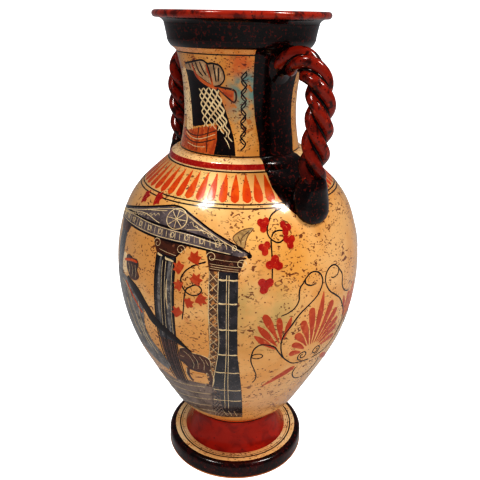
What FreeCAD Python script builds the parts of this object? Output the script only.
"""Hand-thrown amphora with two twisted rope handles.

Parametric FreeCAD source, millimetres, +Z up. The origin is the centre of the resting plane, the handles
lie along X and the painted front faces -Y. Every thrown section is a lathe body drawn in the XZ plane, each
handle is three twisted clay strands between an upper and a lower root, and pieces meet face to face.
"""

import FreeCAD, Part
import math
import os

import Sketcher

SIZES = {
    # foot disc
    "foot_r": 68.0,
    "foot_height": 16.0,
    "foot_edge_round": 5.0,
    "foot_base_bevel": 1.5,
    "foot_contact_r": 57.0,
    "foot_recess_r": 52.0,
    "foot_recess_depth": 3.0,
    "foot_bore_r": 43.0,
    # foot stem
    "stem_base_r": 51.4,
    "stem_top_r": 46.0,
    "stem_top_z": 50.5,
    "stem_sweep_r": 45.0,
    "stem_bore_r": 38.0,
    "stem_bore_sweep_r": 50.0,
    # body
    "wall": 6.0,
    "floor_thickness": 8.0,
    "tuck_r": 63.0,
    "tuck_z": 67.5,
    "flank_r": 91.0,
    "flank_z": 120.5,
    "belly_r": 110.3,
    "belly_z": 203.0,
    "upper_flank_r": 101.0,
    "upper_flank_z": 254.5,
    "shoulder_r": 84.0,
    "shoulder_z": 280.0,
    "shoulder_top_r": 61.5,
    "shoulder_top_z": 300.0,
    "shoulder_top_depth": 4.5,
    # collar and neck
    "neck_base_r": 52.0,
    "neck_base_z": 308.5,
    "collar_swell_r": 9.5,
    "neck_bore_r": 46.0,
    "neck_sweep_r": 152.0,
    "neck_top_r": 54.0,
    "neck_top_z": 388.5,
    # mouth and lip
    "mouth_turn_r": 61.2,
    "mouth_turn_z": 398.5,
    "mouth_turn_round": 11.0,
    "mouth_top_r": 63.2,
    "mouth_top_z": 408.5,
    "mouth_flare_r": 68.6,
    "mouth_flare_round": 5.6,
    "mouth_bore_r": 58.5,
    "mouth_bore_round": 60.0,
    "lip_z": 415.0,
    "lip_edge_r": 72.7,
    "lip_round": 2.9,
    "lip_bore_round": 1.6,
    # rope handles
    "rope_r": 11.4,
    "rope_groove_r": 7.0,
    "rope_pitch": 54.0,
    "rope_phase": 20.0,
    "rope_start_r": 62.0,
    "rope_start_z": 382.8,
    "rope_crest_r": 73.0,
    "rope_crest_z": 382.2,
    "rope_bend_r": 85.0,
    "rope_bend_z": 376.0,
    "rope_knee_r": 91.8,
    "rope_knee_z": 364.0,
    "rope_out_r": 93.6,
    "rope_out_z": 350.0,
    "rope_mid_r": 91.4,
    "rope_mid_z": 325.0,
    "rope_low_r": 89.2,
    "rope_low_z": 306.0,
    "rope_end_r": 88.8,
    "rope_end_z": 292.0,
    # roots
    "upper_root_half_width": 18.0,
    "upper_root_half_height": 16.5,
    "upper_root_drop": 3.5,
    "lower_root_half_width": 16.8,
    "lower_root_reach": 32.0,
    "lower_root_tip_half_width": 8.0,
}

STRANDS = 3
HANDLES = {"left": 180.0, "right": 0.0}
SECTOR = math.radians(180.0 / STRANDS)
OVALNESS = 0.001  # the round end of a root is this much wider than deep, so every section is an ellipse

doc = FreeCAD.newDocument("amphora")
sheet = doc.addObject("Spreadsheet::Sheet", "Sizes")
for row, (alias, number) in enumerate(SIZES.items(), start=1):
    sheet.set(f"A{row}", alias)
    sheet.set(f"B{row}", str(number))
    sheet.setAlias(f"B{row}", alias)
doc.recompute()


def size(alias):
    """Read one driving size back from the sheet."""
    return float(sheet.get(alias))


def number_of(text):
    """Value of a sum such as "belly_r - wall", or of a plain number."""
    total, sign = 0.0, 1.0
    for word in text.split():
        if word in "+-":
            sign = 1.0 if word == "+" else -1.0
        else:
            total += sign * (size(word) if word in SIZES else float(word))
            sign = 1.0
    return total


def expression_of(text):
    """The same sum, written for the expression engine."""
    return " ".join(f"{sheet.Name}.{word}" if word in SIZES else word for word in text.split())


def rotated(vector, angle):
    """A sketch vector turned by an angle in radians."""
    c, s = math.cos(angle), math.sin(angle)
    return FreeCAD.Vector(vector.x * c - vector.y * s, vector.x * s + vector.y * c, 0)


def arc_by_radius(start, end, radius, side):
    """Short arc between two points; side +1 swells to the left of travel, -1 to the right."""
    chord = end - start
    half = chord.Length / 2
    normal = rotated(chord, math.pi / 2).normalize()
    rise = radius - math.sqrt(max(radius * radius - half * half, 0.0))
    middle = start + chord * 0.5 + normal * (side * rise)
    return Part.Arc(start, middle, end)


def arc_by_tangent(start, end, direction):
    """Arc between two points that leaves the first along a direction."""
    chord = end - start
    turn = math.atan2(direction.x * chord.y - direction.y * chord.x, direction.dot(chord))
    radius = chord.Length / (2 * math.sin(abs(turn)))
    return arc_by_radius(start, end, radius, -1 if turn > 0 else 1), 2 * turn


def origin_part(body, role):
    """A plane or axis of a body's own origin."""
    return next(item for item in body.Origin.OriginFeatures if item.Role == role)


def draw_outline(sketch, outline):
    """Draw and constrain a closed outline.

    Each entry is (radius, height, link): the vertex as two sums of sheet sizes, and how it runs on to the
    next one. Links are "line", "level" (arc whose centre is level with its start), "tangent" (arc tangent to
    the one before) or (side, radius).
    """
    points = [FreeCAD.Vector(number_of(r), number_of(z), 0) for r, z, _ in outline]
    count = len(outline)
    heading = None
    edges = []
    for index, (_, _, link) in enumerate(outline):
        start, end = points[index], points[(index + 1) % count]
        if link == "line":
            curve = Part.LineSegment(start, end)
            heading = end - start
        elif link in ("level", "tangent"):
            if link == "level":
                heading = FreeCAD.Vector(0, math.copysign(1, end.y - start.y), 0)
            curve, turn = arc_by_tangent(start, end, heading)
            heading = rotated(heading, turn)
        else:
            curve = arc_by_radius(start, end, number_of(link[1]), link[0])
        edge = sketch.addGeometry(curve, False)
        forward = link == "line" or sketch.getPoint(edge, 1).distanceToPoint(start) < 1e-6
        edges.append((edge, 1, 2) if forward else (edge, 2, 1))
    for index, (radius, height, link) in enumerate(outline):
        edge, begin, finish = edges[index]
        following = (index + 1) % count
        next_edge, next_begin, _ = edges[following]
        joint = "Tangent" if outline[following][2] == "tangent" else "Coincident"
        sketch.addConstraint(Sketcher.Constraint(joint, edge, finish, next_edge, next_begin))
        bind_distance(sketch, "DistanceX", edge, begin, radius)
        bind_distance(sketch, "DistanceY", edge, begin, height)
        if link == "level":
            sketch.addConstraint(Sketcher.Constraint("Horizontal", edge, 3, edge, begin))
        elif link not in ("line", "tangent"):
            datum = sketch.addConstraint(Sketcher.Constraint("Radius", edge, number_of(link[1])))
            sketch.setExpression(f"Constraints[{datum}]", expression_of(link[1]))


def bind_distance(sketch, kind, edge, point, text):
    """Hold one coordinate of a sketch point at a sum of sheet sizes."""
    if text == "0":
        axis = -2 if kind == "DistanceX" else -1
        sketch.addConstraint(Sketcher.Constraint("PointOnObject", edge, point, axis))
        return
    datum = sketch.addConstraint(Sketcher.Constraint(kind, -1, 1, edge, point, number_of(text)))
    sketch.setExpression(f"Constraints[{datum}]", expression_of(text))


def lathe(name, outline):
    """A body turned about Z from one closed outline in the XZ plane."""
    body = doc.addObject("PartDesign::Body", name)
    sketch = body.newObject("Sketcher::SketchObject", f"{name}_outline")
    sketch.AttachmentSupport = (origin_part(body, "XZ_Plane"), [""])
    sketch.MapMode = "FlatFace"
    draw_outline(sketch, outline)
    doc.recompute()
    turned = body.newObject("PartDesign::Revolution", f"{name}_turned")
    turned.Profile = sketch
    turned.ReferenceAxis = (sketch, ["V_Axis"])
    turned.Angle = 360
    doc.recompute()
    return body


foot_disc = lathe(
    "foot_disc",
    [
        ("foot_r - foot_base_bevel", "0", "line"),
        ("foot_r", "foot_base_bevel", "line"),
        ("foot_r", "foot_height - foot_edge_round", (-1, "foot_edge_round")),
        ("foot_r - foot_edge_round", "foot_height", "line"),
        ("foot_bore_r", "foot_height", "line"),
        ("foot_recess_r", "foot_recess_depth", "line"),
        ("foot_contact_r", "0", "line"),
    ],
)

foot_stem = lathe(
    "foot_stem",
    [
        ("stem_base_r", "foot_height", (1, "stem_sweep_r")),
        ("stem_top_r", "stem_top_z", "line"),
        ("stem_bore_r", "stem_top_z", (-1, "stem_bore_sweep_r")),
        ("foot_bore_r", "foot_height", "line"),
    ],
)

body_lower = lathe(
    "body_lower",
    [
        ("belly_r", "belly_z", "level"),
        ("flank_r", "flank_z", "tangent"),
        ("tuck_r", "tuck_z", "tangent"),
        ("stem_top_r", "stem_top_z", "line"),
        ("0", "stem_top_z", "line"),
        ("0", "stem_top_z + floor_thickness", "line"),
        ("stem_bore_r", "stem_top_z + floor_thickness", "line"),
        ("tuck_r - wall", "tuck_z + wall", "line"),
        ("flank_r - wall", "flank_z", (1, "flank_r + flank_r")),
        ("belly_r - wall", "belly_z", "line"),
    ],
)

body_upper = lathe(
    "body_upper",
    [
        ("belly_r", "belly_z", "level"),
        ("upper_flank_r", "upper_flank_z", "tangent"),
        ("shoulder_r", "shoulder_z", "tangent"),
        ("shoulder_top_r", "shoulder_top_z", "line"),
        ("neck_bore_r", "shoulder_top_z", "line"),
        ("neck_bore_r", "shoulder_top_z - shoulder_top_depth", "line"),
        ("shoulder_r - wall", "shoulder_z - wall", (-1, "flank_r")),
        ("upper_flank_r - wall", "upper_flank_z - wall", (-1, "flank_r + flank_r")),
        ("belly_r - wall", "belly_z", "line"),
    ],
)

neck_collar = lathe(
    "neck_collar",
    [
        ("neck_base_r", "shoulder_top_z", "line"),
        ("shoulder_top_r", "shoulder_top_z", (-1, "collar_swell_r")),
        ("neck_base_r", "neck_base_z", "line"),
    ],
)

neck = lathe(
    "neck",
    [
        ("neck_bore_r", "shoulder_top_z", "line"),
        ("neck_base_r", "shoulder_top_z", "line"),
        ("neck_base_r", "neck_base_z", (1, "neck_sweep_r")),
        ("neck_top_r", "neck_top_z", "line"),
        ("neck_top_r - wall", "neck_top_z", (-1, "neck_sweep_r + wall")),
        ("neck_bore_r", "neck_base_z", "line"),
    ],
)

mouth = lathe(
    "mouth",
    [
        ("neck_top_r - wall", "neck_top_z", "line"),
        ("neck_top_r", "neck_top_z", (-1, "mouth_turn_round")),
        ("mouth_turn_r", "mouth_turn_z", "line"),
        ("mouth_top_r", "mouth_top_z", (1, "mouth_flare_round")),
        ("mouth_flare_r", "lip_z - lip_round", "line"),
        ("mouth_bore_r", "lip_z - lip_round", (1, "mouth_bore_round")),
    ],
)

lip = lathe(
    "lip",
    [
        ("mouth_bore_r", "lip_z - lip_round", "line"),
        ("lip_edge_r - lip_round", "lip_z - lip_round", (-1, "lip_round")),
        ("lip_edge_r", "lip_z", (-1, "lip_round")),
        ("lip_edge_r - lip_round", "lip_z + lip_round", "line"),
        ("mouth_bore_r + lip_bore_round", "lip_z + lip_round", (-1, "lip_bore_round")),
        ("mouth_bore_r", "lip_z + lip_round - lip_bore_round", "line"),
    ],
)

# Solid envelope of the whole pot, which the handle roots are trimmed against; it is not a piece.
envelope = lathe(
    "envelope",
    [
        ("belly_r", "belly_z", "level"),
        ("upper_flank_r", "upper_flank_z", "tangent"),
        ("shoulder_r", "shoulder_z", "tangent"),
        ("shoulder_top_r", "shoulder_top_z", (-1, "collar_swell_r")),
        ("neck_base_r", "neck_base_z", (1, "neck_sweep_r")),
        ("neck_top_r", "neck_top_z", (-1, "mouth_turn_round")),
        ("mouth_turn_r", "mouth_turn_z", "line"),
        ("mouth_top_r", "mouth_top_z", "line"),
        ("0", "mouth_top_z", "line"),
        ("0", "belly_z", "line"),
    ],
)

ROPE_STATIONS = ("start", "crest", "bend", "knee", "out", "mid", "low", "end")


def rope_centreline():
    """The smooth curve in the XZ plane that the three strands twist about."""
    points = [FreeCAD.Vector(size(f"rope_{name}_r"), 0, size(f"rope_{name}_z")) for name in ROPE_STATIONS]
    curve = Part.BSplineCurve()
    leaving = FreeCAD.Vector(1, 0, 0)
    arriving = FreeCAD.Vector(0, 0, -1)
    curve.interpolate(Points=points, InitialTangent=leaving, FinalTangent=arriving)
    return curve


def strand_shape(curve, phase):
    """One strand: a rounded lobe, a third of the rope's section, twisted left-handed along the centreline."""
    length = curve.length()
    across = FreeCAD.Vector(0, 1, 0)
    guide_points = []
    steps = 12 * math.ceil(length / size("rope_pitch")) + 1
    for step in range(steps):
        travelled = length * step / (steps - 1)
        parameter = curve.parameterAtDistance(travelled)
        along = FreeCAD.Vector(*curve.tangent(parameter)[0]).normalize()
        outward = across.cross(along)
        twist = phase - math.tau * travelled / size("rope_pitch")
        offset = outward * math.cos(twist) + across * math.sin(twist)
        guide_points.append((curve.value(parameter), offset))
    guide = Part.BSplineCurve()
    guide.interpolate([point + offset * size("rope_groove_r") for point, offset in guide_points])
    start, radial = guide_points[0]
    along = FreeCAD.Vector(*curve.tangent(curve.FirstParameter)[0]).normalize()
    sideways = along.cross(radial)
    groove = size("rope_groove_r")
    corners = [
        start + radial * (groove * math.cos(angle)) + sideways * (groove * math.sin(angle))
        for angle in (-SECTOR, SECTOR)
    ]
    crown = start + radial * size("rope_r")
    lobe = Part.Wire(
        [
            Part.LineSegment(start, corners[0]).toShape(),
            Part.Arc(corners[0], crown, corners[1]).toShape(),
            Part.LineSegment(corners[1], start).toShape(),
        ]
    )
    pipe = Part.BRepOffsetAPI.MakePipeShell(Part.Wire(curve.toShape()))
    pipe.setAuxiliarySpine(Part.Wire(guide.toShape()), False, 0)
    pipe.add(lobe)
    pipe.build()
    pipe.makeSolid()
    return pipe.shape()


def root_section(centre, along, half_width, half_depth):
    """An oval wire square to a direction in the XZ plane, wide along Y."""
    across = FreeCAD.Vector(0, 1, 0)
    depth = across.cross(along.normalize())
    ends = [(half_width, centre + across * half_width), (half_depth, centre + depth * half_depth)]
    ends.sort(key=lambda end: end[0], reverse=True)
    return Part.Wire(Part.Ellipse(ends[0][1], ends[1][1], centre).toShape())


def upper_root_shape():
    """The flared clay root between the rope's first cut and the neck."""
    rope = size("rope_r")
    r, z = size("rope_start_r"), size("rope_start_z")
    wide, high = size("upper_root_half_width"), size("upper_root_half_height")
    drop = size("upper_root_drop")
    inward = FreeCAD.Vector(-1, 0, 0)
    stations = [(0.0, 0.0, 0.0), (0.35, 0.12, 0.1), (0.75, 0.55, 0.55), (1.1, 1.0, 1.0)]
    reach = r - size("neck_top_r") + size("wall")
    wires = [
        root_section(
            FreeCAD.Vector(r - reach * run, 0, z - drop * sink),
            inward,
            rope + OVALNESS + (wide - rope) * flare,
            rope + (high - rope) * flare,
        )
        for run, flare, sink in stations
    ]
    return Part.makeLoft(wires, True, False)


def lower_root_shape():
    """The tongue-shaped pad that spreads the rope's lower end over the shoulder."""
    rope = size("rope_r")
    r, z = size("rope_end_r"), size("rope_end_z")
    wide, reach = size("lower_root_half_width"), size("lower_root_reach")
    tip = size("lower_root_tip_half_width")
    stations = [
        (0.0, 0.0, 0.0, rope + OVALNESS, rope),
        (0.3, 0.05, 4.0, 0.78 * wide, 1.02 * rope),
        (0.6, 0.13, 14.0, 0.97 * wide, 0.92 * rope),
        (0.85, 0.22, 24.0, 0.94 * wide, 0.62 * rope),
        (1.0, 0.3, 32.0, tip, 0.25 * rope),
    ]
    wires = []
    for run, out, tilt, half_width, half_depth in stations:
        centre = FreeCAD.Vector(r + reach * out, 0, z - reach * run)
        lean = math.radians(tilt)
        downward = FreeCAD.Vector(math.sin(lean), 0, -math.cos(lean))
        wires.append(root_section(centre, downward, half_width, half_depth))
    return Part.makeLoft(wires, True, False)


def free_form(name, shape, angle):
    """A piece whose twisted or blended form no sketch holds, turned to its side of the pot."""
    piece = doc.addObject("Part::Feature", name)
    piece.Shape = shape
    piece.Placement = FreeCAD.Placement(FreeCAD.Vector(), FreeCAD.Rotation(FreeCAD.Vector(0, 0, 1), angle))
    return piece


pieces = [foot_disc, foot_stem, body_lower, body_upper, neck_collar, neck, mouth, lip]
centreline = rope_centreline()
trim = envelope.Shape
first_phase = math.radians(size("rope_phase"))
strands = [strand_shape(centreline, first_phase + 2 * SECTOR * index) for index in range(STRANDS)]
upper_root = upper_root_shape().cut(trim)
lower_root = lower_root_shape().cut(trim)
for side, angle in HANDLES.items():
    pieces.append(free_form(f"{side}_handle_upper_root", upper_root, angle))
    for index, strand in enumerate(strands, start=1):
        pieces.append(free_form(f"{side}_handle_strand_{index}", strand, angle))
    pieces.append(free_form(f"{side}_handle_lower_root", lower_root, angle))
doc.recompute()

for item in doc.Objects:
    if "Invalid" in item.State or "Error" in item.State:
        raise RuntimeError(f"{item.Label}: {item.State}")

os.makedirs("parts", exist_ok=True)
for piece in pieces:
    shape = piece.Shape
    if shape.isNull() or not shape.isValid() or len(shape.Solids) != 1:
        raise RuntimeError(f"{piece.Label}: {len(shape.Solids)} solids, valid {shape.isValid()}")
    print(f"{piece.Label}: {shape.Volume / 1000:.1f} cm3")
    shape.exportStep(f"parts/{piece.Label}.step")
print(len(pieces), "pieces")
